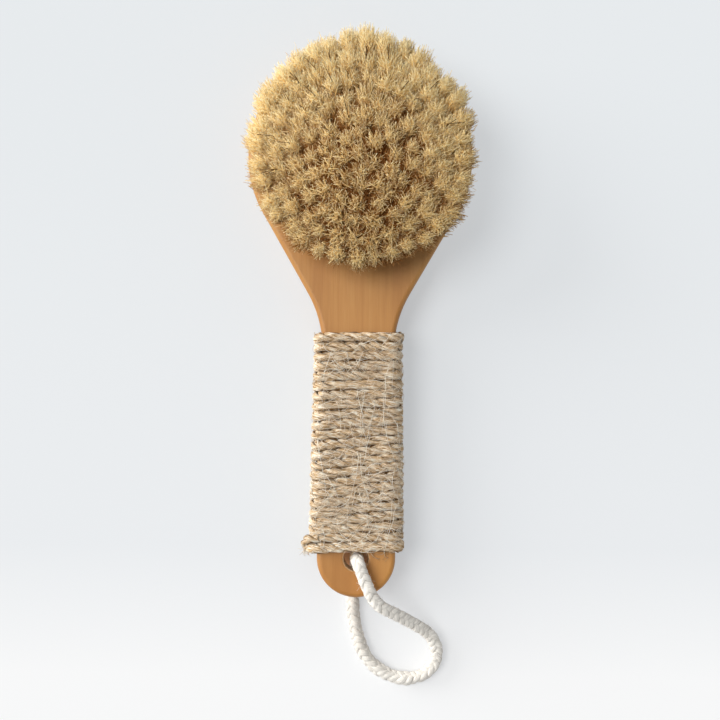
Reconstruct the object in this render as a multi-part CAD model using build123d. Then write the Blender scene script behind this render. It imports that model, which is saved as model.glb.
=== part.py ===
# Body dry brush: a wooden paddle with a round head full of bristle tufts, a handle wound with
# jute twine, and a cotton hang cord looped through a hole at the handle's end.
# It lies on its back: bristles up (+Z), head towards +Y, and the origin is on the surface
# that it lies on, under the middle of its outline.

import os
from math import acos, atan2, cos, hypot, pi, radians, sin, sqrt, tan

from build123d import *

# ---- Driving dimensions (mm, angles in degrees) ----

# Wooden body, cut from one board
board_thickness = 17.0
head_radius = 46.2
head_to_hole = 165.1
head_to_neck = 77.0
neck_half_width = 14.7
neck_blend_radius = 47.0
flank_angle = 29.9
end_radius = 16.2
hole_radius = 5.2
hole_round = 1.0
face_round = 2.0
back_round = 3.5
end_lift = 6.0
ramp_length = 22.0
ramp_radius = 50.0
ramp_above_winding = 6.25
steepest_underside = 25.0

# Bristle tufts, drilled in rings round one middle tuft
ring_count = 6
tufts_added_per_ring = 6
ring_pitch = 6.7
tip_ring_pitch = 7.3
first_tuft_angle = 87.0
bristle_length = 22.0
strands_per_tuft = 3
tuft_foot_spread = 1.05
tuft_tip_spread = 2.2
strand_foot_radius = 0.85
strand_tip_radius = 0.6
trim_unevenness = 0.5
slice_depth = 1.2
slice_seam = 0.1

# Flat wire anchors that hold the folded tufts in the wood
anchor_width = 4.0
anchor_height = 2.0
anchor_thickness = 0.5
tuft_hole_depth = 8.0

# Twine wound on the handle, drawn with flat sides
twine_diameter = 3.4
twine_sides = 6
winding_turns = 23
winding_length = 89.2
winding_above_hole = 3.6
winding_clearance = 0.1
table_clearance = 0.3
gap_check_step = 2.0

# Hang cord, drawn with flat sides, and the thread whipping that joins its ends inside the hole
cord_diameter = 4.6
cord_sides = 8
cord_exit_bend = 5.0
cord_bend_share = 0.45
cord_end_gap = 0.5
cord_in_hole = (0.6, 0.4)
cord_over_end = 20.6
whipping_length = 6.0
whipping_wall = 0.5

# ---- Places that follow from them ----

tip_reach = ring_count * tip_ring_pitch + tuft_tip_spread + strand_tip_radius
body_length = end_radius + head_to_hole + max(head_radius, tip_reach)
hole_y = end_radius - body_length / 2
head_y = hole_y + head_to_hole
winding_end_y = hole_y + winding_above_hole
winding_start_y = winding_end_y + winding_length
neck_lift = twine_diameter + winding_clearance + table_clearance
flank = radians(flank_angle)
neck_to_hole = head_to_hole - head_to_neck
# The handle opens out a little from the neck until it meets the round end
taper = atan2(neck_to_hole, neck_half_width) - acos(end_radius / hypot(neck_to_hole, neck_half_width))
# The underside steps up to the handle just before the winding starts
ramp_top_y = winding_start_y + ramp_above_winding


def export(shape, name):
    shape.label = name
    export_step(shape, f"parts/{name}.step")


# ---- Wooden body ----

def ring_edge(ring):
    """Radius midway between a ring of tufts and the next one out."""
    return (ring + 0.5) * ring_pitch


def neck_corner():
    """Where the lines of a flank and of the handle's edge would cross, before they are blended."""
    flank_offset = head_radius - head_y * sin(flank)
    handle_offset = end_radius + hole_y * sin(taper)
    both = sin(flank + taper)
    x = (flank_offset * sin(taper) + handle_offset * sin(flank)) / both
    y = (handle_offset * cos(flank) - flank_offset * cos(taper)) / both
    return x, y


def body_outline():
    """Head circle, straight flanks, hollow neck blends and a round end about the hang hole."""
    flank_top = (head_radius * cos(flank), head_y - head_radius * sin(flank))
    end_top = (end_radius * cos(taper), hole_y + end_radius * sin(taper))
    right = FilletPolyline(flank_top, neck_corner(), end_top, radius=neck_blend_radius)
    left = mirror(right, Plane.YZ)
    head = ThreePointArc(flank_top, (0, head_y + head_radius), (-flank_top[0], flank_top[1]))
    end = ThreePointArc(end_top, (0, hole_y - end_radius), (-end_top[0], end_top[1]))
    return make_face(right.edges() + left.edges() + [head, end])


def side_view():
    """The board seen from the side: flat behind the head, then stepping up along the handle."""
    beyond = head_radius + end_radius
    ramp_top = (ramp_top_y, neck_lift)
    ramp_foot = (ramp_top_y + ramp_length, 0)
    handle_end = (hole_y - beyond, underside_height(hole_y - beyond))
    head_end = (head_y + beyond, 0)
    underside = FilletPolyline(handle_end, ramp_top, ramp_foot, head_end, radius=ramp_radius)
    rest = Polyline(head_end, (head_end[0], board_thickness), (handle_end[0], board_thickness), handle_end)
    return Plane.YZ * make_face(underside.edges() + rest.edges())


def underside_height(y):
    """Height of the handle's underside between the hang hole and the top of the ramp."""
    return neck_lift + (end_lift - neck_lift) * (ramp_top_y - y) / (ramp_top_y - hole_y)


def wooden_body():
    board = extrude(body_outline(), board_thickness)
    board = board & extrude(side_view(), head_radius * 2, both=True)
    face_edges = board.faces().sort_by(Axis.Z)[-1].outer_wire().edges()
    board = fillet(face_edges, face_round)
    underside = [f for f in board.faces() if f.normal_at().Z < -cos(radians(steepest_underside))]
    shared = [edge for f in underside for edge in f.edges()]
    back_edges = [e for e in shared if sum(e.is_same(other) for other in shared) == 1]
    board = fillet(back_edges, back_round)
    board -= Pos(0, hole_y, 0) * Cylinder(hole_radius, 3 * board_thickness)
    middles = [(edge, edge.center(CenterOf.BOUNDING_BOX)) for edge in board.edges()]
    board = fillet([edge for edge, c in middles if hypot(c.X, c.Y - hole_y) < hole_radius / 2], hole_round)
    pocket = Pos(0, head_y, board_thickness - slice_depth) * Circle(ring_edge(ring_count) + slice_seam)
    return board - extrude(pocket, 2 * slice_depth)


# ---- Bristles: one node for each ring of tufts ----

def tuft_angles(ring):
    """Directions of a ring's tufts, evenly spaced."""
    count = max(1, ring * tufts_added_per_ring)
    return [radians(first_tuft_angle + 360 * tuft / count) for tuft in range(count)]


def triangle(centre, outward, radius, z):
    """Corners of a three-sided section, one of them pointing outward from its tuft's middle."""
    ways = [outward, outward + 2 * pi / 3, outward + 4 * pi / 3]
    return [(centre[0] + radius * cos(way), centre[1] + radius * sin(way), z) for way in ways]


def strand(ring, angle, number):
    """One bundle of bristles, leaning outward with its tuft and away from its neighbours."""
    outward = angle + 2 * pi * number / strands_per_tuft

    def middle(pitch, spread):
        return (
            ring * pitch * cos(angle) + spread * cos(outward),
            head_y + ring * pitch * sin(angle) + spread * sin(outward),
        )

    foot_z = board_thickness - slice_depth / 2
    tip_z = board_thickness + bristle_length - trim_unevenness * number / (strands_per_tuft - 1)
    foot = triangle(middle(ring_pitch, tuft_foot_spread), outward, strand_foot_radius, foot_z)
    tip = triangle(middle(tip_ring_pitch, tuft_tip_spread), outward, strand_tip_radius, tip_z)
    outlines = [foot, tip] + [
        [foot[a], foot[b], tip[b], tip[a]] for a, b in ((0, 1), (1, 2), (2, 0))
    ]
    return Solid(Shell([Face(Wire.make_polygon(outline)) for outline in outlines]))


def backing_slice(ring):
    """Many-sided ring of wood round one ring of tufts, flush with the face."""
    outline = RegularPolygon(ring_edge(ring) - slice_seam / 2, tufts_added_per_ring * (ring + 1))
    if ring > 0:
        outline -= RegularPolygon(ring_edge(ring - 1) + slice_seam / 2, tufts_added_per_ring * ring)
    return Pos(0, head_y, board_thickness - slice_depth) * extrude(outline, slice_depth)


def bristle_ring(ring):
    strands = [strand(ring, angle, n) for angle in tuft_angles(ring) for n in range(strands_per_tuft)]
    return backing_slice(ring).fuse(*strands)


# ---- Anchors: a flat wire across the bottom of every tuft's hole ----

def tuft_anchors():
    blank = Box(anchor_thickness, anchor_width, anchor_height, align=(Align.CENTER, Align.CENTER, Align.MIN))
    anchors = []
    for ring in range(ring_count + 1):
        for angle in tuft_angles(ring):
            place = Pos(
                ring * ring_pitch * cos(angle),
                head_y + ring * ring_pitch * sin(angle),
                board_thickness - tuft_hole_depth,
            )
            anchors.append(place * Rot(Z=angle * 180 / pi) * blank)
    return Compound(children=anchors)


# ---- Twine winding: one unbroken tube round the handle ----

def handle_half_width(y):
    """Half width of the handle between the flanks and the round end."""
    blend_length = neck_blend_radius * tan((flank + taper) / 2) * cos(taper)
    into_blend = max(0, y - (neck_corner()[1] - blend_length))
    widening = neck_blend_radius - sqrt(neck_blend_radius ** 2 - into_blend ** 2)
    return (end_radius - (y - hole_y) * sin(taper)) / cos(taper) + widening


def winding_corners(y):
    """Where the twine's middle line meets and leaves its four corners round the handle at y."""
    off = twine_diameter / 2 + winding_clearance
    side = handle_half_width(y) + off
    top = board_thickness + off
    bottom = underside_height(y) - off
    top_bend = max(face_round + off, twine_diameter)
    bottom_bend = max(back_round + off, twine_diameter)
    return [
        (side - bottom_bend, bottom),
        (side, bottom + bottom_bend),
        (side, top - top_bend),
        (side - top_bend, top),
        (top_bend - side, top),
        (-side, top - top_bend),
        (-side, bottom + bottom_bend),
        (bottom_bend - side, bottom),
    ]


def winding_points():
    """The turns' corner points, dropping evenly along the handle with the length wound."""
    pitch = (winding_length - twine_diameter) / (winding_turns - 1)
    first = winding_start_y - twine_diameter / 2
    points = []
    for turn in range(winding_turns):
        turn_y = first - turn * pitch
        corners = winding_corners(turn_y)
        steps = [hypot(b[0] - a[0], b[1] - a[1]) for a, b in zip(corners, corners[1:] + corners[:1])]
        middle = sum(steps[:3]) + steps[3] / 2
        for number in range(8):
            y = turn_y - pitch * (sum(steps[:number]) - middle) / sum(steps)
            x, z = winding_corners(y)[number]
            points.append(Vector(x, y, z))
    return points


def biarc(start, start_way, end, end_way):
    """Two arcs that leave start and reach end in the given directions, joined smoothly."""
    chord = end - start
    ways = start_way + end_way
    across = 2 * (1 - start_way.dot(end_way))
    along = chord.dot(ways)
    reach = (sqrt(along ** 2 + across * chord.dot(chord)) - along) / across
    joint = (start + end + (start_way - end_way) * reach) / 2
    return [
        TangentArc(start, joint, tangent=start_way),
        TangentArc(joint, end, tangent=end_way * -1, tangent_from_first=False),
    ]


def winding_path():
    """Straight runs along the four sides, joined by quarter turns at the corners."""
    points = winding_points()
    start = points[0] - (points[8] - points[7]).normalized() * twine_diameter
    end = points[-1] + (points[-8] - points[-9]).normalized() * twine_diameter
    edges = [Line(start, points[0])]
    way = (points[0] - start).normalized()
    for first, second, after in zip(points[0::2], points[1::2], points[2::2] + [end]):
        next_way = (after - second).normalized()
        edges += biarc(first, way, second, next_way)
        edges.append(Line(second, after))
        way = next_way
    return Wire([edge.edge() for edge in edges])


def winding_gap(path):
    """Least gap between one turn of the tube and the next, measured on points along it."""
    count = int(path.length / gap_check_step)
    points = [path @ (number / count) for number in range(count + 1)]
    half_turn = int(count / winding_turns / 2)
    nearest = min(
        (points[i] - points[j]).length
        for i in range(count)
        for j in range(i + half_turn, min(i + 3 * half_turn, count + 1))
    )
    return nearest - twine_diameter


def twine_wrap():
    path = winding_path()
    print(f"winding: length {path.length:.0f} mm, least gap to itself {winding_gap(path):.2f} mm")
    section = Plane(origin=path @ 0, z_dir=path % 0) * RegularPolygon(twine_diameter / 2, twine_sides)
    return sweep(section, path=path)


# ---- Hang cord ----

def cord_route():
    """Points of the loop: up out of the hole, over the end, round on the table and back under."""
    lying = cord_diameter / 2
    x, y = cord_in_hole
    middle = (cord_over_end + lying) / 2
    points = [
        (x, y, middle + cord_end_gap / 2),
        (x, y, cord_over_end),
        (3.4, -9.0, cord_over_end),
        (8.0, -18.4, 20.0),
        (16.8, -24.0, 12.6),
        (25.6, -29.2, 4.8),
        (32.6, -34.4, lying),
        (35.2, -42.8, lying),
        (30.8, -50.4, lying),
        (22.2, -53.2, lying),
        (12.8, -50.8, lying),
        (5.0, -44.6, lying),
        (1.2, -35.4, lying),
        (-1.0, -24.6, lying),
        (-1.2, -12.4, lying),
        (x, y, lying),
        (x, y, middle - cord_end_gap / 2),
    ]
    return [Vector(px, hole_y + py, pz) for px, py, pz in points]


def cord_radii(points):
    """A bend that takes its share of the shorter run at each corner, and tight ones at the hole."""
    radii = []
    for before, here, after in zip(points, points[1:], points[2:]):
        turn = radians((here - before).get_angle(after - here))
        run = min((here - before).length, (after - here).length)
        radii.append(cord_bend_share * run / tan(turn / 2))
    radii[0] = radii[-1] = cord_exit_bend
    return radii


def hang_cord():
    points = cord_route()
    radii = cord_radii(points)
    path = FilletPolyline(*points, radius=radii)
    section = Plane(origin=path @ 0, z_dir=path % 0) * RegularPolygon(cord_diameter / 2, cord_sides)
    cord = sweep(section, path=path)
    print("cord bends:", ", ".join(f"{radius:.1f}" for radius in radii), "mm")
    print(f"cord: length {path.length:.1f} mm, volume / (section x length) "
          f"{cord.volume / (section.area * path.length):.4f}")
    return cord


def cord_whipping():
    """Thread bound round the cord's two ends where they meet inside the hole."""
    middle = (cord_over_end + cord_diameter / 2) / 2
    sleeve = Cylinder(cord_diameter / 2 + whipping_wall, whipping_length)
    sleeve -= Cylinder(cord_diameter / 2, 2 * whipping_length)
    return Pos(cord_in_hole[0], hole_y + cord_in_hole[1], middle) * sleeve


# ---- Build ----

os.makedirs("parts", exist_ok=True)
export(wooden_body(), "wooden_body")
for ring in range(ring_count + 1):
    export(bristle_ring(ring), f"bristle_ring_{ring}")
export(tuft_anchors(), "tuft_anchors")
export(twine_wrap(), "twine_wrap")
export(hang_cord(), "hang_cord")
export(cord_whipping(), "cord_whipping")
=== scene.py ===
# Body dry brush: a wooden paddle with a round head of natural bristle, a handle wound with jute
# twine, and a plaited cotton hang cord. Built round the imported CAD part, in metres, +Z up.

from math import pi, radians

import bpy
import numpy as np
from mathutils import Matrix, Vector


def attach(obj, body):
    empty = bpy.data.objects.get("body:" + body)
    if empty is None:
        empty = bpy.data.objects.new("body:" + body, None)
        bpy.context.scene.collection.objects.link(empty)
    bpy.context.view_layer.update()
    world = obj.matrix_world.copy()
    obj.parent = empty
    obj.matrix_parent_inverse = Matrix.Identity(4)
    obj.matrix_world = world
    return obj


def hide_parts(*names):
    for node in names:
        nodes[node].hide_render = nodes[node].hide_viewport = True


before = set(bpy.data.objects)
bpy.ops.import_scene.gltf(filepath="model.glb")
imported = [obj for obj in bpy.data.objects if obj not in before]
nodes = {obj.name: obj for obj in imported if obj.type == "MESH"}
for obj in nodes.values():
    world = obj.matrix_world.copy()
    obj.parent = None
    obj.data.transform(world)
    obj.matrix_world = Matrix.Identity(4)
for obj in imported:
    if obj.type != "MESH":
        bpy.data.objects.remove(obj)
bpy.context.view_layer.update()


# ---- Camera ----
# It looks straight down at the brush as it lies on its back, from half a metre above the wood's
# face, and is turned a little, because the brush lies a little aslant in the picture.

camera_data = bpy.data.cameras.new("camera")
camera_data.sensor_width = 36
camera_data.lens = 63.26
camera = bpy.data.objects.new("camera", camera_data)
camera.location = (0.00075, -0.01608, 0.537)
camera.rotation_euler = (0, 0, radians(0.632))
bpy.context.collection.objects.link(camera)
bpy.context.scene.camera = camera


# ---- Wooden body ----
# One board of pale hardwood, cut to a paddle, sanded and lightly oiled. Its grain runs along
# the handle, and its edges are rounded by hand. The CAD solid has the shape, so it stays.

hole_y = -0.09775


class Value:
    """A number's socket in a material. Sums and products written on it add its Math nodes."""

    def __init__(self, finish, socket):
        self.finish, self.socket = finish, socket

    def math(self, operation, first, second):
        return self.finish.node("Math", {"operation": operation}, {0: first, 1: second})

    def __add__(self, other):
        return self.math("ADD", self, other)

    def __mul__(self, other):
        return self.math("MULTIPLY", self, other)

    __radd__, __rmul__ = __add__, __mul__


class Finish:
    """A material that starts empty, with one method that adds any node and a few short forms."""

    def __init__(self, name):
        self.material = bpy.data.materials.new(name)
        self.material.use_nodes = True
        self.tree = self.material.node_tree
        self.tree.nodes.clear()

    def node(self, kind, settings, sockets, output=0):
        """Adds a node, with its settings first and then its sockets' numbers or links."""
        made = self.tree.nodes.new("ShaderNode" + kind)
        stops = settings.pop("stops", ())
        for name, setting in settings.items():
            setattr(made, name, setting)
        for number, (place, colour) in enumerate(stops):
            ramp = made.color_ramp.elements
            stop = ramp[number] if number < 2 else ramp.new(place)
            stop.position, stop.color = place, colour
        for name, value in sockets.items():
            if isinstance(value, Value):
                self.tree.links.new(value.socket, made.inputs[name])
            else:
                made.inputs[name].default_value = value
        return Value(self, made.outputs[output]) if made.outputs else None

    def own_map(self):
        """Each place on the piece's own map."""
        return self.node("UVMap", {"uv_map": "OFBake"}, {})

    def stretch(self, place, scale):
        """Places multiplied along X, Y and Z. A pattern on them gets finer as the scale grows."""
        return self.node("Mapping", {}, {"Vector": place, "Scale": scale})

    def measure(self, place, axis):
        """Each place's measure along one axis."""
        return self.node("SeparateXYZ", {}, {0: place}, axis)

    def noise(self, place, size, detail=3, roughness=0.5):
        """Cloudy pattern with patches of about that size, in the same measure as the places."""
        sockets = {"Vector": place, "Scale": 1 / size, "Detail": detail, "Roughness": roughness}
        return self.node("TexNoise", {}, sockets)

    def ramp(self, factor, *stops):
        """Colours by a factor from 0 to 1."""
        return self.node("ValToRGB", {"stops": stops}, {0: factor})

    def mix(self, factor, first, second):
        """The first colour where the factor is 0, the second where it is 1, and between them by it."""
        return self.node("Mix", {"data_type": "RGBA"}, {0: factor, 6: first, 7: second}, 2)

    def distance(self, place, fixed):
        """How far each place is from the fixed one."""
        return self.node("VectorMath", {"operation": "DISTANCE"}, {0: place, 1: fixed}, "Value")

    def shade(self, bump=None, depth=0.0, **sockets):
        """Ends the material in one shader. The bump is a height from 0 to 1 times depth in metres."""
        named = {name.replace("_", " "): value for name, value in sockets.items()}
        if bump:
            named["Normal"] = self.node("Bump", {}, {"Height": bump, "Distance": depth})
        surface = self.node("BsdfPrincipled", {}, named)
        self.node("OutputMaterial", {}, {"Surface": surface})
        return self.material


def paint(red, green, blue):
    """A colour as a screen shows it, from 0 to 255, turned into the light that it reflects."""
    shown = np.array([red, green, blue]) / 255
    light = np.where(shown > 0.04045, ((shown + 0.055) / 1.055) ** 2.4, shown / 12.92)
    return (*light.tolist(), 1.0)


def oiled_wood():
    """The sum of broad bands, streaks and pores along the grain picks the colour. The handle's end is
    a darker brown, lighter and more orange at the right: painted light where the cord's shadow falls.
    Within 5.3 mm of the hang hole's axis the wood is pale: painted light on the hole's shaded wall and
    rim."""
    wood = Finish("oiled_wood")
    place = wood.node("TexCoord", {}, {}, "Object")
    along = wood.stretch(place, (1, 0.05, 0.6))
    close_along = wood.stretch(place, (1, 0.02, 1))
    bands = wood.noise(along, 0.014, 2)
    streaks = wood.noise(along, 0.0022, 3, 0.6)
    pores = wood.noise(close_along, 0.0004, 2)
    grain = bands * 0.6 + streaks * 0.3 + pores * 0.1
    colour = wood.ramp(
        grain,
        (0.34, paint(172, 116, 56)),
        (0.50, paint(187, 132, 69)),
        (0.66, paint(198, 147, 84)),
    )
    handle_end_mask = wood.ramp(
        wood.measure(place, "Y") * 10 + 1.5,
        (0.45, paint(210, 210, 210)),
        (0.60, paint(0, 0, 0)),
    )
    flat_place = wood.stretch(place, (1, 1, 0))
    from_hole = wood.distance(flat_place, (0, hole_y, 0))
    # Painted light: pale wood within 5.3 mm of the hang hole's axis, on the hole's shaded wall and
    # rim.
    painted_hole_light = wood.ramp(from_hole * 100, (0.53, paint(255, 255, 255)), (0.58, paint(0, 0, 0)))
    end_brown = wood.mix(streaks, paint(162, 106, 44), paint(178, 120, 56))
    # Painted light: the right of the handle's end is lighter and more orange, where the cord's shadow
    # falls.
    orange = wood.ramp(
        wood.measure(place, "X") * 20 + 0.5,
        (0.45, paint(0, 0, 0)),
        (0.70, paint(255, 255, 255)),
    )
    colour = wood.mix(handle_end_mask, colour, wood.mix(orange, end_brown, paint(206, 142, 66)))
    colour = wood.mix(painted_hole_light, colour, paint(232, 196, 150))
    return wood.shade(
        Base_Color=colour, Roughness=streaks * 0.16 + 0.40, bump=pores, depth=0.00004,
        Coat_Weight=0.12, Coat_Roughness=0.35,
    )


wood_finish = oiled_wood()
nodes["wooden_body"].material_slots[0].material = wood_finish


# ---- Drilled face ----
# The middle of the head's face, where the tufts' holes are drilled. It is the same board, so it
# has the same finish and lies flush. The tufts fill the holes, so it is drawn as a closed disc,
# and the bristles stand out of it.

head_y = 0.06735
face_z = 0.017
drilled_radius = 0.04362
drilled_depth = 0.0012


def new_piece(name, points, faces, finish, uv=None):
    """A mesh from its points, its faces' corner numbers (one array for each number of corners)
    and, if given, each corner's place on the piece's own map."""
    mesh = bpy.data.meshes.new(name)
    corners = np.concatenate([f.ravel() for f in faces])
    sizes = np.concatenate([np.full(len(f), f.shape[1]) for f in faces])
    mesh.vertices.add(len(points))
    mesh.vertices.foreach_set("co", points.astype(np.float32).ravel())
    mesh.loops.add(len(corners))
    mesh.loops.foreach_set("vertex_index", corners.astype(np.int32))
    mesh.polygons.add(len(sizes))
    mesh.polygons.foreach_set("loop_start", (np.cumsum(sizes) - sizes).astype(np.int32))
    mesh.polygons.foreach_set("use_smooth", np.ones(len(sizes), bool))
    if uv is not None:
        layer = mesh.uv_layers.new(name="OFBake")
        layer.uv.foreach_set("vector", uv.astype(np.float32).ravel())
    mesh.update(calc_edges=True)
    mesh.validate()
    mesh.materials.append(finish)
    piece = bpy.data.objects.new(name, mesh)
    bpy.context.collection.objects.link(piece)
    return piece


def sleeves(name, rings, finish, lengths, rounds):
    """Closed tubes: each ring's points are joined to the next ring's, and the first and last rings
    are capped. rings holds each tube's rings of points (tube, ring, point, 3), counted
    anticlockwise about the tube's direction. Its own map runs with lengths (tube, ring) one way
    and rounds (tube, point and once more the first) the other, or with one row for all tubes."""
    tubes, count, sides = rings.shape[:3]
    number = np.arange(tubes * count * sides).reshape(tubes, count, sides)
    after = np.roll(number, -1, axis=2)
    walls = np.stack([number[:, :-1], after[:, :-1], after[:, 1:], number[:, 1:]], axis=-1)
    caps = np.concatenate([number[:, 0, ::-1], number[:, -1]])
    full = (tubes, count, sides + 1)
    along, about = np.broadcast_to(lengths[:, :, None], full), np.broadcast_to(rounds[:, None], full)
    near = np.stack([along, about], axis=-1)
    this, beyond = near[:, :-1], near[:, 1:]
    wall_uv = np.stack([this[:, :, :-1], this[:, :, 1:], beyond[:, :, 1:], beyond[:, :, :-1]], axis=3)
    cap_uv = np.concatenate([near[:, 0, sides - 1::-1], near[:, -1, :-1]])
    uv = np.concatenate([wall_uv.reshape(-1, 2), cap_uv.reshape(-1, 2)])
    faces = [walls.reshape(-1, 4), caps]
    return new_piece(name, rings.reshape(-1, 3), faces, finish, uv)


def turned_disc(name, profile, sides, finish):
    """A profile (point, 2) of radius and height, turned round the head's middle: cosine and sine of
    the angle times the radius. A flat top and bottom close it."""
    around = np.linspace(0, 2 * pi, sides, endpoint=False)
    circle = np.stack([np.cos(around), np.sin(around)], axis=-1)
    across = profile[:, :1, None] * circle + (0, head_y)
    height = np.broadcast_to(profile[:, 1:, None], (len(profile), sides, 1))
    rings = np.concatenate([across, height], axis=-1)[None]
    share, rounds = np.linspace(0, 1, len(profile))[None], np.linspace(0, 1, sides + 1)[None]
    return sleeves(name, rings, finish, share, rounds)


drilled_rim = np.array([(drilled_radius, face_z - drilled_depth), (drilled_radius, face_z)])
drilled_face = turned_disc("drilled_face", drilled_rim, 180, wood_finish)
drilled_polygons = drilled_face.data.polygons
drilled_polygons.foreach_set("use_smooth", np.zeros(len(drilled_polygons), bool))
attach(drilled_face, "brush")


# ---- Bristle tufts ----
# Natural pale bristle in 127 tufts: one in the middle and six rings round it. Each tuft is folded
# over a wire in its hole, stands out 22 mm, leans outward, and spreads at its trimmed tips.

ring_count = 6
tufts_added_per_ring = 6
ring_pitch = 0.0067
tip_pitch = 0.0073
bristle_length = 0.022
first_tuft = radians(87)
hair_rounds = np.linspace(0, 0.01, 4)[None]


def bristle_finish():
    """Blond, and nearly white on the cut tip, partly the bristle's own pale tip and partly a painted
    highlight, over brown where the hair is deep in tone. On its own map X runs from foot to tip, and Y
    is the hair's tone, which carries painted light and shade. The darkest are nearly black."""
    bristle = Finish("natural_bristle")
    own = bristle.own_map()
    along = bristle.measure(own, "X")
    tone = bristle.measure(own, "Y")
    pale = bristle.ramp(
        along,
        (0.0, paint(242, 190, 112)),
        (0.6, paint(252, 206, 130)),
        (0.88, paint(255, 224, 156)),
        # Partly a painted highlight on the cut tip.
        (0.99, paint(255, 239, 192)),
    )
    deep = bristle.ramp(
        along,
        (0.0, paint(160, 95, 36)),
        (0.6, paint(144, 86, 32)),
        (0.88, paint(142, 86, 34)),
        (0.99, paint(168, 110, 52)),
    )
    colour = bristle.mix(tone, deep, pale)
    dark = bristle.node("Math", {"operation": "LESS_THAN"}, {0: tone, 1: 0.02})
    colour = bristle.mix(dark, colour, paint(88, 58, 24))
    return bristle.shade(
        Base_Color=colour, Roughness=0.35,
        Specular_IOR_Level=0.06, Specular_Tint=(1.0, 0.88, 0.66, 1.0),
    )


def tuft_feet(ring, pitch):
    """Where a ring's tufts stand, evenly spaced on a circle round the head's middle whose radius
    is the ring's number times the pitch."""
    count = max(1, tufts_added_per_ring * ring)
    way = first_tuft + 2 * pi * np.arange(count) / count
    return ring * pitch * np.stack([np.cos(way), np.sin(way)], axis=-1) + (0, head_y)


def hairs(middle, thick, thin, twist):
    """Rings of three points round middle lines (hair, knot, 3), turned by twist: at each knot the
    line plus half the width times cosine and sine of the angle across the line's direction. The
    width goes evenly from thick to thin."""
    way = np.gradient(middle, axis=1)
    way /= np.linalg.norm(way, axis=2, keepdims=True)
    aside = np.stack([np.cos(twist), np.sin(twist), 0.3 + 0 * twist], axis=-1)[:, None]
    side = np.cross(way, aside)
    side /= np.linalg.norm(side, axis=2, keepdims=True)
    up = np.cross(way, side)
    share = np.linspace(0, 1, middle.shape[1])
    width = (thick[:, None] * (1 - share) + thin[:, None] * share)[:, :, None, None] / 2
    angle = np.arange(3)[:, None] * 2 * pi / 3
    circle = side[:, :, None] * np.cos(angle) + up[:, :, None] * np.sin(angle)
    return middle[:, :, None] + width * circle


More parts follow.
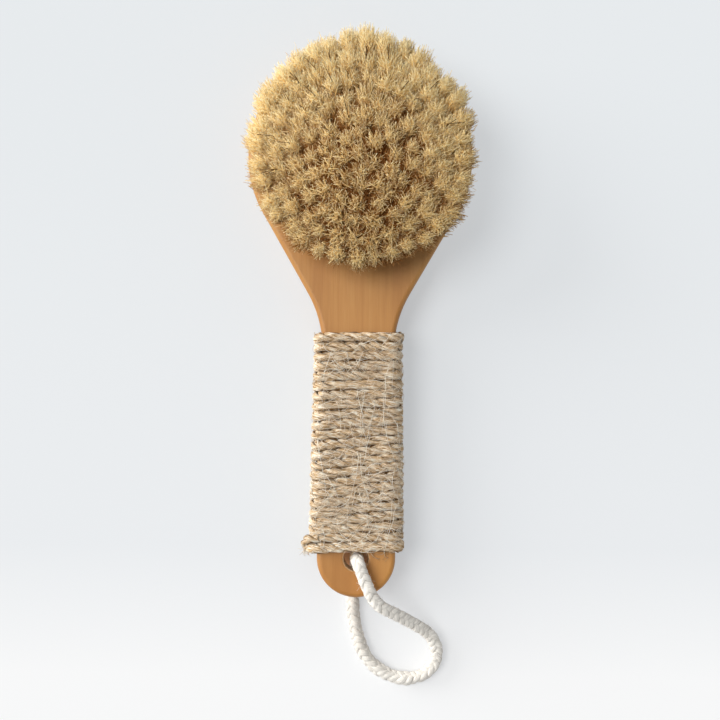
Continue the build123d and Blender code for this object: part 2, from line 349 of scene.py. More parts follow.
def tuft_hairs(feet, heads, per_tuft, random):
    """Hairs of the tufts from their feet to their heads, through four knots at the given shares of
    their height. A hair's place is the straight line from foot to head plus its spot in the
    tuft's round bundle times the flare at the knot. The long ones stay together up to the second
    knot and then flare like a star, with curled tips. The others open out from the foot, end
    lower and fill the room between the tufts. Under their ends all bow back towards a point below
    the head's middle, so that the ends stand up and outward. A few stiff dark hairs lie outward
    over their neighbours.

    The tone, from deep to pale, rises with the square of the distance from the head's middle, most of
    all in the upper half, and the short hairs start much deeper than the long ones: painted light
    where the rim's tufts catch the light from the upper left, painted shade in the gaps between the
    tufts and in the middle. It falls from the middle of each tuft to its edge, also painted shade
    between the tufts, and is a little deeper at the lower right, painted shade on the side away from
    the light."""
    tuft = np.repeat(np.arange(len(feet)), per_tuft)
    count = len(tuft)
    away = feet[tuft] - (0, head_y)
    outward = np.linalg.norm(away, axis=1) / (ring_count * ring_pitch)
    swept = (away + (0, 0.030)) * 0.045
    away /= ring_count * ring_pitch * np.maximum(outward, 0.01)[:, None]
    upper = away @ (0.1, 0.99)
    painted_shade_lower_right = (away @ (0.8, -0.6)).clip(0, None) * outward.clip(0, 1)
    dark_share = 0.0026 * outward * (away @ (-0.35, 0.94) + 0.5)
    dark = (random.random(count) < dark_share) & (outward < 0.9)
    long = (random.random(count) < 0.16 + (0.12 + 0.12 * upper) * outward) | dark

    spot = np.sqrt(random.random(count))
    around = random.random(count) * 2 * pi
    bundle = np.stack([np.cos(around), np.sin(around)], axis=-1) * spot[:, None]
    share = np.array([0, 0.68, 0.88, 1])
    long_flare, other_flare = (0.0015, 0.0020, 0.0028, 0.0040), (0.0015, 0.0040, 0.0047, 0.0052)
    flare = np.where(long[:, None], long_flare, other_flare)
    flare = flare * random.normal(1, 0.12, len(feet))[tuft][:, None]
    top = face_z + bristle_length
    low = top - 0.0042 + 0.0008 * outward - 0.0012 * spot ** 2
    high = top - 0.0003 - 0.0014 * spot ** 2 + random.normal(0, 0.0006, len(feet))[tuft]
    height = np.where(long, high, low) + random.normal(0, 0.0007, count)
    height = height.clip(None, top + 0.0010)

    lean = heads[tuft] - feet[tuft] + random.normal(0, 0.0006, (count, 2))
    curl = random.normal(0, 0.0009, (count, 2)) * np.where(long, 1, 0.4)[:, None]
    middle = np.zeros((count, len(share), 3))
    middle[:, :, :2] = feet[tuft][:, None] + lean[:, None] * share[:, None]
    middle[:, :, :2] += bundle[:, None] * flare[:, :, None]
    foot_z = face_z - 0.0008
    middle[:, :, 2] = foot_z + (height - foot_z)[:, None] * share
    middle[:, -3, :2] -= swept
    middle[:, -2, :2] -= curl * 0.5 + swept * 0.65
    middle[:, -1, :2] += curl
    fallen = away[dark] * random.uniform(0.002, 0.006, dark.sum())[:, None] + curl[dark]
    middle[dark, -2] = np.c_[heads[tuft[dark]], np.full(dark.sum(), top + 0.0004)]
    middle[dark, -1] = np.c_[heads[tuft[dark]] + fallen, np.full(dark.sum(), top + 0.0008)]

    thick = random.gamma(14, 1 / 14, count).clip(0.6, 1.6)
    thick *= np.where(long, 0.00030 - 0.00009 * outward, 0.00025)
    thick = np.where(dark, 0.00036, thick)
    # Painted light and shade: the tone rises towards the rim, most of all in the upper half, and the
    # short hairs between the tufts are much deeper.
    long_tone = 0.60 + outward ** 2 * (0.36 + 0.18 * upper)
    other_tone = 0.04 + outward ** 2 * (0.86 + 0.52 * upper)
    tone = np.where(long, long_tone, other_tone).clip(None, 1.03)
    mean_spot = 0.667
    # Painted shade: deeper from a tuft's middle to its edge.
    tone += np.where(long, 0.36 + 0.20 * outward, 0.55 + 0.45 * outward) * (mean_spot - spot)
    # Painted shade: deeper at the lower right, away from the light.
    tone += painted_shade_lower_right * (0.30 * (mean_spot - spot) - 0.07)
    tone += random.normal(0, 0.07, len(feet))[tuft]
    tone += random.normal(0, np.where(long, 0.22, 0.10), count)
    tone = np.where(dark, 0.005, tone.clip(0.04, 0.98))
    return hairs(middle, thick, thick * 0.8, random.random(count) * 2 * pi), tone


def soften(piece, rings):
    """Leans the shading of each hair towards its tip and the sky, as light that spreads inside the
    tuft does: the normal is 0.6 of the way out of the hair, 0.8 of the way along it and 0.5 of
    the way straight up."""
    middle = rings.mean(axis=2)
    along = np.gradient(middle, axis=1)
    along /= np.linalg.norm(along, axis=2, keepdims=True)
    out = rings - middle[:, :, None]
    out /= np.linalg.norm(out, axis=3, keepdims=True)
    normals = 0.6 * out + 0.8 * along[:, :, None] + (0, 0, 0.5)
    normals /= np.linalg.norm(normals, axis=3, keepdims=True)
    piece.data.normals_split_custom_set_from_vertices(normals.reshape(-1, 3))


def bristle_piece(name, ring, tufts, finish, per_tuft=500):
    """Some of a ring's tufts as one piece. Their heads stand further out than their feet, a little
    less so across the brush than along it, and a little more so towards the top."""
    random = np.random.default_rng(40 + ring)
    feet = tuft_feet(ring, ring_pitch)
    heads = (tuft_feet(ring, tip_pitch) - (0, head_y)) * (0.952, 0.980)
    heads[:, 1] += 0.018 * heads[:, 1].clip(0, None)
    heads += (0.0004, head_y)
    heads += random.normal(0, 0.0008, feet.shape)
    rings, tone = tuft_hairs(feet[tufts], heads[tufts], per_tuft, random)
    lengths = np.linspace(0, 1, rings.shape[1])[None]
    piece = sleeves(name, rings, finish, lengths, tone[:, None] + hair_rounds)
    soften(piece, rings)
    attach(piece, "brush")
    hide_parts(f"bristle_ring_{ring}")


bristle_material = bristle_finish()
for ring in range(3):
    bristle_piece(f"bristles_{ring}", ring, slice(None), bristle_material)
for ring in range(3, ring_count + 1):
    half = tufts_added_per_ring * ring // 2
    bristle_piece(f"bristles_{ring}_left", ring, slice(0, half), bristle_material)
    bristle_piece(f"bristles_{ring}_right", ring, slice(half, None), bristle_material)
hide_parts(*[f"bristle_ring_{ring}" for ring in range(ring_count + 1)])


# ---- Tuft anchors ----
# Flat zinc-coated wire, cut into short blanks that pin each folded tuft in its hole. They are
# inside the wood, so only their finish is given.

anchor = Finish("zinc_wire")
anchor_place = anchor.node("TexCoord", {}, {}, "Object")
anchor_marks = anchor.noise(anchor_place, 0.0006, 4)
nodes["tuft_anchors"].material_slots[0].material = anchor.shade(
    Base_Color=anchor.ramp(anchor_marks, (0.3, paint(150, 152, 155)), (0.7, paint(188, 190, 192))),
    Roughness=anchor_marks * 0.3 + 0.25, Metallic=1.0,
)


# ---- Twine winding ----
# Two-ply jute twine, wound 23 turns round the handle under tension, with both ends tucked under.
# Each ply is a soft twisted bundle of coarse fibres, and loose fibres stand off it everywhere.

end_radius = 0.0162
taper_slope = 0.01705
neck_blend_radius = 0.047
neck_blend_y = -0.01303
neck_lift = 0.0038
neck_lift_y = 0.0013
end_lift = 0.0060
low_corner = 0.0038
top_corner = 0.0024
twine_offset = 0.00176
turns = 23
turn_pitch = 0.0039
first_turn_y = -0.00665
ply_sides = 22
ply_bump = 0.0008


def half_width(y):
    """Half width of the handle: it tapers evenly from the round end, and from neck_blend_y on it
    widens along the circle of the neck's blend."""
    blend = np.clip(y - neck_blend_y, 0, 0.02)
    widening = neck_blend_radius - np.sqrt(neck_blend_radius ** 2 - blend ** 2)
    return end_radius - (y - hole_y) * taper_slope + widening


def underside(y):
    """Height of the handle's underside, which rises evenly from the neck towards the hole."""
    return neck_lift + (end_lift - neck_lift) * (neck_lift_y - y) / (neck_lift_y - hole_y)


def round_handle(part, y, off):
    """Points round the handle at distance off from it, part of the way round (0 to 1) from the
    middle of the underside, up the right side and over the top. A rounded rectangle in nine runs,
    straight and quarter circle by turns, as the underside counts as two halves. Also the
    direction straight out of the wood."""
    side, low, high = half_width(y) + off, underside(y) - off, face_z + off
    low_bend, top_bend = low_corner + off, top_corner + off
    flat_low, flat_top, wall = side - low_bend, side - top_bend, high - low - low_bend - top_bend
    low_turn, top_turn = low_bend * pi / 2, top_bend * pi / 2
    runs = (flat_low, low_turn, wall, top_turn, 2 * flat_top, top_turn, wall, low_turn, flat_low)
    runs = np.stack([run + 0 * y for run in runs])
    ends = np.cumsum(runs, axis=0)
    gone = part * ends[-1]
    which = (gone > ends[:-1]).sum(axis=0)
    into = gone - np.choose(which, ends - runs)
    bent = into / np.choose(which, runs) * pi / 2

    def pick(*choices):
        return np.choose(which, [choice + 0 * y for choice in choices])

    way = pick(-pi / 2, bent - pi / 2, 0, bent, pi / 2, bent + pi / 2, pi, bent + pi, 1.5 * pi)
    bend = pick(0, low_bend, 0, top_bend, 0, top_bend, 0, low_bend, 0)
    lowest, highest = low + low_bend, high - top_bend
    over = flat_top - into
    x = pick(into, flat_low, side, flat_top, over, -flat_top, -side, -flat_low, into - flat_low)
    z = pick(low, lowest, lowest + into, highest, high, highest, highest - into, lowest, low)
    out = np.stack([np.cos(way), 0 * y, np.sin(way)], axis=-1)
    return np.stack([x, y, z], axis=-1) + bend[:, None] * out, out


def waver(s, size, seed, waves=6):
    """A smooth random line from -1 to 1 along s: the sum of sine waves about that long."""
    random = np.random.default_rng(seed)
    lengths = size * random.uniform(0.6, 1.8, waves)
    starts = random.uniform(0, 2 * pi, waves)
    return np.sin(2 * pi * s[..., None] / lengths + starts).sum(axis=-1) / np.sqrt(waves * 2)


def wound_line(count):
    """The twine's middle line: round the handle and steadily down it. A bell curve lifts it off the
    wood where its end is tucked, at the left of the last turn. The turns bow downwards, slant
    more and more down the handle until the last few, and are never quite even."""
    turn = np.linspace(-0.04, turns - 0.04, count)
    y = first_turn_y - (turn - 0.5) * turn_pitch
    tucked = turns - 0.25
    loosened = 0.0011 * np.exp(-((turn - tucked) / 0.10) ** 2)
    line, out = round_handle(turn % 1, y, twine_offset + loosened)
    down = np.clip((turn - 2) / (turns - 4), 0, 1)
    slant = 0.45 * down ** 2 * (1 - down) ** 0.6 - 0.02
    bow = 1.2 * line[:, 0] ** 2
    line[:, 1] += line[:, 0] * slant - bow
    line[:, 1] += 0.00030 * waver(turn, 0.9, 3)
    return line, out


def plies(line, out, lay, ply_out, thin, wide):
    """Two plies twisted round the line at ply_out from it, lay to a full twist, as rings of points
    counted from straight out of the wood. A ply's section is an ellipse with lobes, thin away
    from the line and wide across, so the two fill a round twine. The twine is pressed a little
    flat on the wood. Its thickness wavers, its last turn swells, and it stands fuller at the
    handle's sides."""
    pressed, spread = 0.93, 1.05
    way = np.gradient(line, axis=0)
    steps = np.linalg.norm(way, axis=1)
    across = np.cross(way, out)
    across /= np.linalg.norm(across, axis=1, keepdims=True)
    length = np.cumsum(steps)
    angle = np.linspace(0, 2 * pi, ply_sides, endpoint=False)
    around = pressed * np.cos(angle)[:, None] * out[:, None]
    around = around + spread * np.sin(angle)[:, None] * across[:, None]
    rings = []
    for ply in range(2):
        twist = (2 * pi * length / lay + pi * ply + 1.8 * waver(length, 0.05, 11))[:, None]
        lean = pressed * np.cos(twist) * out + spread * np.sin(twist) * across
        spin = 2 * pi * length[:, None] / 0.016 + 2 * waver(length, 0.03, 30 + ply)[:, None]
        lobes = 1 + 0.10 * np.sin(3 * angle + spin) + 0.06 * np.sin(7 * angle - spin)
        swell = 0.20 * np.exp(-((length - length[-1] + 0.055) / 0.03) ** 2)
        flank = 0.13 * out[:, 0] ** 2
        size = (1 + swell + flank + 0.15 * waver(length, 0.011, 20 + ply))[:, None] * lobes
        turned = angle - twist
        reach = size / np.sqrt((np.cos(turned) / thin) ** 2 + (np.sin(turned) / wide) ** 2)
        rings.append((line + ply_out * lean)[:, None] + reach[..., None] * around)
    return np.array(rings), length


def jute_finish():
    """Greyish beige, with pale and brown fibres streaked along the ply, and painted shade, dark brown,
    on the flanks and the underside of the twine, in the gaps between the turns. The ply's own map runs
    to and fro along it, 100 mm at a time, and once round it."""
    jute = Finish("jute_twine")
    own = jute.own_map()
    streak_place = jute.stretch(own, (20, 5, 1))
    fibre_place = jute.stretch(own, (36, 20, 1))
    streaks = jute.noise(streak_place, 1.0, 2)
    fibres = jute.noise(fibre_place, 1.0, 3)
    tone = streaks * 0.4 + fibres * 0.6
    colour = jute.ramp(
        tone,
        (0.34, paint(100, 68, 30)),
        (0.43, paint(194, 161, 119)),
        (0.51, paint(230, 204, 170)),
        (0.60, paint(255, 250, 234)),
    )
    around = jute.measure(own, "Y")
    # Painted shade: dark brown on the twine's flanks and underside, in the gaps between the turns.
    flank = jute.ramp(
        around,
        (0.13, paint(0, 0, 0)),
        (0.24, paint(255, 255, 255)),
        (0.76, paint(255, 255, 255)),
        (0.87, paint(0, 0, 0)),
    )
    colour = jute.mix(flank * 0.85, colour, paint(94, 62, 24))
    return jute.shade(
        Base_Color=colour, Roughness=0.8, bump=fibres, depth=ply_bump, Specular_IOR_Level=0.08,
    )


line, line_out = wound_line(3300)
ply_rings, line_length = plies(
    line, line_out, lay=0.0145, ply_out=0.00094, thin=0.00092, wide=0.00154,
)
to_and_fro = np.abs((line_length / 0.1) % 2 - 1)
ply_rounds = np.linspace(0, 1, ply_sides + 1)[None]
jute_material = jute_finish()
for ply, along in enumerate((1 - to_and_fro, to_and_fro)):
    name = f"twine_ply_{ply}"
    twine = sleeves(name, ply_rings[ply:ply + 1], jute_material, along[None], ply_rounds)
    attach(twine, "brush")
    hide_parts("twine_wrap")


# ---- Twine end ----
# The cut end of the twine. It comes out from under the last turn at the left, where it was tucked,
# bends down the handle's side and frays. Its line is straight between the listed knots, then smoothed.

end_knots = np.array([
    (-0.0150, -0.0893, 0.0196), (-0.0182, -0.0892, 0.0194), (-0.0206, -0.0900, 0.0176),
    (-0.0213, -0.0920, 0.0158), (-0.0206, -0.0942, 0.0142),
])
end_share = np.linspace(0, len(end_knots) - 1.0001, 30)
first, part = end_share.astype(int), end_share[:, None] % 1
end_line = end_knots[first] * (1 - part) + end_knots[first + 1] * part
for _ in range(3):
    end_line[1:-1] = (end_line[:-2] + end_line[1:-1] + end_line[2:]) / 3
end_out = np.broadcast_to(np.array([-0.55, 0, 0.835]), end_line.shape)
end_rings, end_length = plies(
    end_line, end_out, lay=0.0090, ply_out=0.00080, thin=0.00085, wide=0.00115,
)
end_along = np.array([[0.3], [0.7]]) + end_length / 0.1
twine_end = sleeves("twine_end", end_rings, jute_material, end_along, ply_rounds)
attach(twine_end, "brush")


# ---- Loose jute fibres ----
# Coarse single fibres that have worked out of the twine. Most lie along the turns or bridge two
# or three of them. Long pale ones cross the turns on the top, the cut end frays, and a few hang
# over the wood below the last turn.

girth = 0.104
fibre_lift = 0.00376
fibre_clearance = 0.00014


def drifting(random, start, heading, length, turning, knots):
    """Lines on a flat sheet from start (fibre, 2): sums of equal steps whose heading turns evenly
    along the line and also drifts at random."""
    share = np.linspace(0, 1, knots)
    way = heading[:, None] + turning[:, None] * (share - 0.5)
    way += np.cumsum(random.normal(0, 0.12, way.shape), axis=1)
    step = np.stack([np.cos(way), np.sin(way)], axis=-1) * (length / (knots - 1))[:, None, None]
    return start[:, None] + np.cumsum(step, axis=1) - step[:, :1]


def fibres_on_turns(count, random, knots=7):
    """Fibres laid over the winding, most of them nearly along the turns, the others any way."""
    start = np.stack([random.random(count) * girth, random.uniform(-0.0925, -0.0062, count)], axis=-1)
    heading = random.normal(-0.15, 0.5, count) + pi * random.integers(0, 2, count)
    crossing = random.random(count) < 0.4
    heading = np.where(crossing, random.uniform(0, 2 * pi, count), heading)
    length = random.gamma(3, 0.0022, count).clip(0.002, 0.018)
    return wrapped(random, start, heading, length, random.normal(0, 0.9, count), knots)


def fibres_across(count, random, rows, slant, turning, longest, knots=7):
    """Long pale fibres on the top that cross the turns more or less along the handle."""
    start = np.stack([random.uniform(0.034, 0.070, count), random.uniform(*rows, count)], axis=-1)
    heading = random.normal(-pi / 2, slant, count)
    length = random.uniform(0.4 * longest, longest, count)
    return wrapped(random, start, heading, length, random.normal(0, turning, count), knots)


def wrapped(random, start, heading, length, turning, knots):
    """Flat lines wrapped round the handle just off the twine: the first measure goes round it and
    the second along it. Each line lifts along its length in a low sine arch, and some also with
    the square of the way to their free end. At the handle's sides they lie closer."""
    flat = drifting(random, start, heading, length, turning, knots)
    count = len(start)
    share = np.linspace(0, 1, knots)
    arch = random.gamma(1.2, 0.00022, count).clip(0, 0.0012)[:, None] * np.sin(pi * share)
    free = np.where(random.random(count) < 0.18, random.uniform(0.0004, 0.0016, count), 0)
    lift = (fibre_lift + arch + free[:, None] * share ** 2).ravel()
    part = (flat[..., 0] / girth % 1).ravel()
    down = flat[..., 1].clip(-0.0945, -0.0048).ravel()
    out = round_handle(part, down, lift)[1]
    placed = round_handle(part, down, lift - 0.0010 * out[:, 0] ** 2)[0]
    placed[:, 2] = placed[:, 2].clip(fibre_clearance, None)
    return placed.reshape(count, knots, 3)


def fibres_below(count, random, knots=7):
    """Fibres that hang out of the last turn and lie on the wood of the handle's end."""
    start = np.stack([random.uniform(0.0055, 0.0135, count), np.full(count, -0.0936)], axis=-1)
    heading = random.normal(-pi / 2, 0.5, count)
    length = random.uniform(0.003, 0.0075, count)
    flat = drifting(random, start, heading, length, random.normal(0, 1.6, count), knots)
    share = np.linspace(0, 1, knots)
    return np.dstack([flat, np.broadcast_to(0.0192 - 0.0020 * share ** 0.5, flat.shape[:2])])


def frayed_end(count, random, knots=7):
    """The frayed tip of the twine's cut end, spread like a small brush."""
    across, down = random.normal(-0.0206, 0.0006, count), random.uniform(-0.0945, -0.0925, count)
    start = np.stack([across, down], axis=-1)
    heading = random.normal(-1.5, 0.55, count)
    length = random.uniform(0.0010, 0.0042, count)
    flat = drifting(random, start, heading, length, random.normal(0.2, 1.2, count), knots)
    height = random.uniform(0.0130, 0.0160, count)[:, None] - 0.002 * np.linspace(0, 1, knots)
    return np.dstack([flat, height])


def fibre_finish():
    """Brown to nearly white by the fibre's tone, which is Y on its own map."""
    fibre = Finish("jute_fibre")
    own = fibre.own_map()
    colour = fibre.ramp(
        fibre.measure(own, "Y"),
        (0.0, paint(152, 114, 64)),
        (0.5, paint(240, 219, 188)),
        (1.0, paint(255, 252, 242)),
    )
    return fibre.shade(Base_Color=colour, Roughness=0.6, Specular_IOR_Level=0.1)


def fibre_piece(name, lines, thick, tones, random, finish):
    """Fibres along the lines, half as thick at their ends as at their starts."""
    rings = hairs(lines, thick, thick * 0.5, random.random(len(lines)) * 2 * pi)
    lengths = np.linspace(0, 1, rings.shape[1])[None]
    piece = sleeves(name, rings, finish, lengths, tones[:, None] + hair_rounds)
    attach(piece, "brush")


fibre_random = np.random.default_rng(7)
fibre_material = fibre_finish()
short_lines = np.concatenate([
    fibres_on_turns(3000, fibre_random),
    frayed_end(110, fibre_random),
])
short_thick = fibre_random.uniform(0.00010, 0.00026, len(short_lines))
short_tones = fibre_random.uniform(0, 0.95, len(short_lines)) ** 0.7
fibre_piece("loose_fibres", short_lines, short_thick, short_tones, fibre_random, fibre_material)
across_lines = np.concatenate([
    fibres_across(16, fibre_random, (-0.060, -0.010), slant=0.2, turning=0.15, longest=0.028),
    fibres_across(34, fibre_random, (-0.090, -0.058), slant=1.1, turning=0.9, longest=0.018),
])
below_lines = fibres_below(10, fibre_random)
long_lines = np.concatenate([across_lines, below_lines])
across_tones = fibre_random.uniform(0.8, 0.97, len(across_lines))
long_tones = np.r_[across_tones, fibre_random.uniform(0.1, 0.5, len(below_lines))]
long_thick = fibre_random.uniform(0.00022, 0.00034, len(long_lines))
fibre_piece("long_fibres", long_lines, long_thick, long_tones, fibre_random, fibre_material)


# ---- Hang cord ----
# A round plait of eight soft cotton strands, about 160 mm of it. It comes up out of the hole,
# over the handle's end, lies on the table in a loop and goes back in from below.

strand_count = 8
strand_sides = 10
strand_thin = 0.00078
strand_wide = 0.00136
strand_reach = 0.00172
strand_weave = 0.00034
plait_turn = 0.0120
cord_route = [
    (0.0003, -0.0004, 0.0117),
    (0.0003, 0.0004, 0.0205),
    (0.0031, -0.0070, 0.0213),
    (0.0080, -0.0180, 0.0206),
    (0.0164, -0.0228, 0.0160),
    (0.0254, -0.0286, 0.0092),
    (0.0324, -0.0338, 0.0044),
    (0.0352, -0.0426, 0.0031),
    (0.0308, -0.0502, 0.0031),
    (0.0222, -0.0530, 0.0031),
    (0.0128, -0.0508, 0.0031),
    (0.0048, -0.0446, 0.0031),
    (0.0010, -0.0354, 0.0031),
    (-0.0012, -0.0246, 0.0031),
    (-0.0012, -0.0124, 0.0031),
    (0.0004, -0.0012, 0.0031),
    (0.0005, -0.0005, 0.0106),
]


def smooth_line(name, route, fineness):
    """Points along the NURBS spline that has the route's points as its control points."""
    curve = bpy.data.curves.new(name, "CURVE")
    curve.dimensions = "3D"
    curve.resolution_u = fineness
    spline = curve.splines.new("NURBS")
    spline.points.add(len(route) - 1)
    spline.points.foreach_set("co", [c for x, y, z in route for c in (x, y + hole_y, z, 1)])
    spline.order_u = 3
    spline.use_endpoint_u = True
    holder = bpy.data.objects.new(name, curve)
    mesh = bpy.data.meshes.new_from_object(holder)
    points = np.empty(3 * len(mesh.vertices))
    mesh.vertices.foreach_get("co", points)
    bpy.data.objects.remove(holder)
    bpy.data.curves.remove(curve)
    bpy.data.meshes.remove(mesh)
    return points.reshape(-1, 3)


def plait(line):
    """Eight strands that wind round the line, four each way, each over two and under two of the
    others: a strand's distance from the line is a wave of twice its angle round it. A strand's
    section is an ellipse, thin away from the line and wide across."""
    way = np.gradient(line, axis=0)
    steps = np.linalg.norm(way, axis=1, keepdims=True)
    way /= steps
    length = np.cumsum(steps[:, 0])
    side = np.cross(way, (0.45, 0.3, 0.84))
    side /= np.linalg.norm(side, axis=1, keepdims=True)
    up = np.cross(way, side)
    angle = np.linspace(0, 2 * pi, strand_sides, endpoint=False)
    lumps = 1 + 0.05 * waver(length, 0.008, 50)
    rings = []
    for strand in range(strand_count):
        hand = 1 if strand < strand_count / 2 else -1
        stray = 0.4 * waver(length, 0.009, 80 + strand)
        around = hand * 2 * pi * length / plait_turn + strand * pi / 2 + stray
        out = side * np.cos(around)[:, None] + up * np.sin(around)[:, None]
        reach = strand_reach + hand * strand_weave * np.cos(2 * around + pi / 4)
        centre = line + out * (reach * lumps)[:, None]
        along = np.gradient(centre, axis=0)
        along /= np.linalg.norm(along, axis=1, keepdims=True)
        flat = np.cross(along, out)
        flat /= np.linalg.norm(flat, axis=1, keepdims=True)
        fat = lumps + 0.14 * waver(length, 0.005, 60 + strand)
        section = strand_thin * np.cos(angle)[:, None] * out[:, None]
        section = section + strand_wide * np.sin(angle)[:, None] * flat[:, None]
        rings.append(centre[:, None] + fat[:, None, None] * section)
    return np.array(rings), length


def cotton_finish():
    """Off-white, with fine yarns along each strand, and painted shade, a little grey, where it lies
    under the handle's end."""
    cotton = Finish("cotton_cord")
    own = cotton.own_map()
    yarn_place = cotton.stretch(own, (30, 14, 1))
    yarns = cotton.noise(yarn_place, 1.0, 3)
    colour = cotton.ramp(yarns, (0.3, paint(216, 211, 203)), (0.6, paint(246, 242, 234)))
    along = cotton.measure(own, "X")
    # Painted shade: greying from 0.6 to 0.8 of the cord's length, where it runs back under the
    # handle's end.
    painted_shade_under_end = cotton.ramp(along, (0.60, paint(0, 0, 0)), (0.80, paint(255, 255, 255)))
    colour = cotton.mix(painted_shade_under_end * 0.5, colour, paint(208, 202, 194))
    return cotton.shade(
        Base_Color=colour, Roughness=0.9, bump=yarns, depth=0.00018, Specular_IOR_Level=0.15,
    )


cord_line = smooth_line("hang_cord_line", cord_route, fineness=24)
cord_rings, cord_length = plait(cord_line)
cord_share = cord_length[None] / cord_length[-1]
cord_rounds = np.linspace(0, 1, strand_sides + 1)[None]
cord = sleeves("plaited_cord", cord_rings, cotton_finish(), cord_share, cord_rounds)
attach(cord, "hang_loop")
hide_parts("hang_cord")


# ---- Cotton fuzz ----
# Fine short ends of cotton that stand off the plait's strands all along it. Each is a curl fixed
# in the face of a strand.

def fuzz_lines(strands, line, count, random, knots=4):
    """Short curls that start on the strands' rings (strand, ring, point, 3): a straight way, partly
    out from the cord's middle line and partly at random, plus a bend that grows with the square
    of the way along."""
    strand = random.integers(0, strand_count, count)
    ring = random.integers(2, strands.shape[1] - 2, count)
    start = strands[strand, ring, random.integers(0, strands.shape[2], count)]
    out = start - line[ring]
    out /= np.linalg.norm(out, axis=1, keepdims=True)
    heading = out * 0.5 + random.normal(0, 0.6, (count, 3))
    length = random.uniform(0.0004, 0.0011, count)[:, None, None]
    bend = random.normal(0, 0.4, (count, 1, 3))
    share = np.linspace(0, 1, knots)[:, None]
    curls = start[:, None] + length * (heading[:, None] * share + bend * share ** 2)
    curls[..., 2] = curls[..., 2].clip(0.0001, None)
    return curls


fuzz_random = np.random.default_rng(17)
fuzz = fuzz_lines(cord_rings, cord_line, 2600, fuzz_random)
fuzz_thick = fuzz_random.uniform(0.00007, 0.00013, len(fuzz))
fuzz_rings = hairs(fuzz, fuzz_thick, fuzz_thick * 0.6, fuzz_random.random(len(fuzz)) * 2 * pi)
fuzz_material = Finish("cotton_fuzz").shade(
    Base_Color=paint(242, 238, 231), Roughness=0.9, Specular_IOR_Level=0.15,
)
fuzz_share = np.linspace(0, 1, fuzz_rings.shape[1])[None]
fuzz_rounds = fuzz_random.random(len(fuzz))[:, None] * 0.9 + hair_rounds
cotton_fuzz = sleeves("cotton_fuzz", fuzz_rings, fuzz_material, fuzz_share, fuzz_rounds)
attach(cotton_fuzz, "hang_loop")


# ---- Cord whipping ----
# Fine waxed thread bound tightly round the cord's two ends, where they meet inside the hole. Its
# twelve turns lie side by side, and it swings with the cord.

def coil(middle, low, high, radius, thread, rounds, per_round, sides):
    """A thread wound evenly up a stem: rings of points round a circle whose height grows with the
    angle."""
    angle = np.linspace(0, 2 * pi * rounds, rounds * per_round)
    out = np.stack([np.cos(angle), np.sin(angle), 0 * angle], axis=-1)
    height = np.linspace(low, high, len(angle))
    centre = out * (radius - thread / 2) + np.c_[np.broadcast_to(middle, (len(angle), 2)), height]
    turn = np.linspace(0, 2 * pi, sides, endpoint=False)
    section = np.cos(turn)[:, None] * out[:, None] + np.sin(turn)[:, None] * (0, 0, 1)
    return centre[:, None] + thread / 2 * section


def thread_finish():
    """Waxed linen, with fine streaks along the thread on its own map."""
    thread = Finish("whipping_thread")
    own = thread.own_map()
    place = thread.stretch(own, (160, 3, 1))
    streaks = thread.noise(place, 1.0, 2)
    colour = thread.ramp(streaks, (0.3, paint(186, 160, 120)), (0.7, paint(222, 200, 164)))
    return thread.shade(Base_Color=colour, Roughness=0.7)


thread_sides = 6
thread_rings = coil(
    middle=(0.0004, hole_y), low=0.0090, high=0.0142, radius=0.0028, thread=0.00044,
    rounds=12, per_round=28, sides=thread_sides,
)[None]
thread_share = np.linspace(0, 1, thread_rings.shape[1])[None]
thread_rounds = np.linspace(0, 1, thread_sides + 1)[None]
whipping = sleeves("whipping_turns", thread_rings, thread_finish(), thread_share, thread_rounds)
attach(whipping, "hang_loop")
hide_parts("cord_whipping")


# ---- Floor, light and background ----
# A plain pale sheet that turns to white towards the foot of the picture and has a spot of painted
# shade, tan, right behind the hang hole, two soft lamps from the upper left, and an even sky.

floor_half = 1.5
shade_spot = (0, hole_y - 0.002, 0)
shade_spot_radius = 0.0065


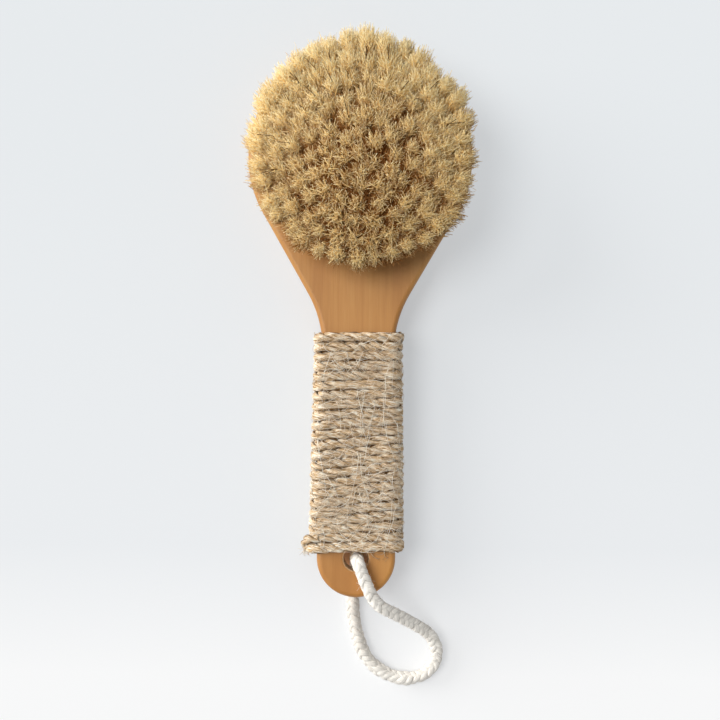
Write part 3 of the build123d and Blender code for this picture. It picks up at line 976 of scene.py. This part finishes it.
def sheet_finish():
    """The colour goes by Y. Where the sheet is seen, straight or in a reflection, it also glows: about
    half of what shows is its own colour without light or shadow, a little more of it higher up. The
    spot behind the hole doesn't glow and is painted tan, painted shade and a painted reflection of the
    wood where the sheet is seen through the hang hole."""
    sheet = Finish("pale_sheet")
    place = sheet.node("TexCoord", {}, {}, "Object")
    up_page = sheet.measure(place, "Y")
    colour = sheet.ramp(
        up_page * 4 + 0.7,
        (0.10, paint(246, 247, 248)),
        (0.32, paint(233, 236, 239)),
        (1.0, paint(230, 234, 237)),
    )
    straight = sheet.node("LightPath", {}, {}, "Is Camera Ray")
    mirrored = sheet.node("LightPath", {}, {}, "Is Glossy Ray")
    through = sheet.node("LightPath", {}, {}, "Is Transmission Ray")
    clamped = {"operation": "ADD", "use_clamp": True}
    seen = sheet.node("Math", clamped, {0: straight + mirrored, 1: through})
    away = {0: sheet.distance(place, shade_spot), 1: shade_spot_radius}
    off_shade_spot = sheet.node("Math", {"operation": "GREATER_THAN"}, away)
    heights = {"From Min": 0.0, "From Max": 0.06, "To Min": 0.49, "To Max": 0.63}
    share = sheet.node("MapRange", {}, {"Value": up_page, **heights}, "Result")
    # Painted shade: tan in the spot behind the hang hole, seen through it.
    lit_colour = sheet.mix(off_shade_spot, paint(225, 176, 134), colour)
    lit = sheet.node("BsdfDiffuse", {}, {"Color": lit_colour})
    glow = sheet.node("Emission", {}, {"Color": colour, "Strength": 1.0})
    mixed = sheet.node("MixShader", {}, {0: seen * off_shade_spot * share, 1: lit, 2: glow})
    sheet.node("OutputMaterial", {}, {"Surface": mixed})
    return sheet.material


floor_points = np.array([(-1, -1, 0), (1, -1, 0), (1, 1, 0), (-1, 1, 0)]) * floor_half
floor = new_piece("floor", floor_points, [np.array([[0, 1, 2, 3]])], sheet_finish())


def lamp(name, way, strength, spread, tint):
    """A far, round, soft lamp: the way to it from the brush, and how wide it looks from there."""
    data = bpy.data.lights.new(name, "SUN")
    data.energy, data.angle, data.color = strength, radians(spread), tint
    shone = bpy.data.objects.new(name, data)
    shone.rotation_euler = Vector(way).to_track_quat("Z", "Y").to_euler()
    bpy.context.collection.objects.link(shone)


lamp("key", (-0.47, 0.14, 0.87), strength=1.6, spread=32, tint=(1.0, 0.985, 0.965))
lamp("side", (-0.88, 0.40, 0.26), strength=2.8, spread=44, tint=(1.0, 0.98, 0.95))

sky = bpy.data.worlds.new("sky")
sky.use_nodes = True
background = sky.node_tree.nodes["Background"].inputs
background["Color"].default_value = (0.98, 0.99, 1.0, 1)
background["Strength"].default_value = 0.36
bpy.context.scene.world = sky
bpy.context.scene.view_settings.view_transform = "Standard"
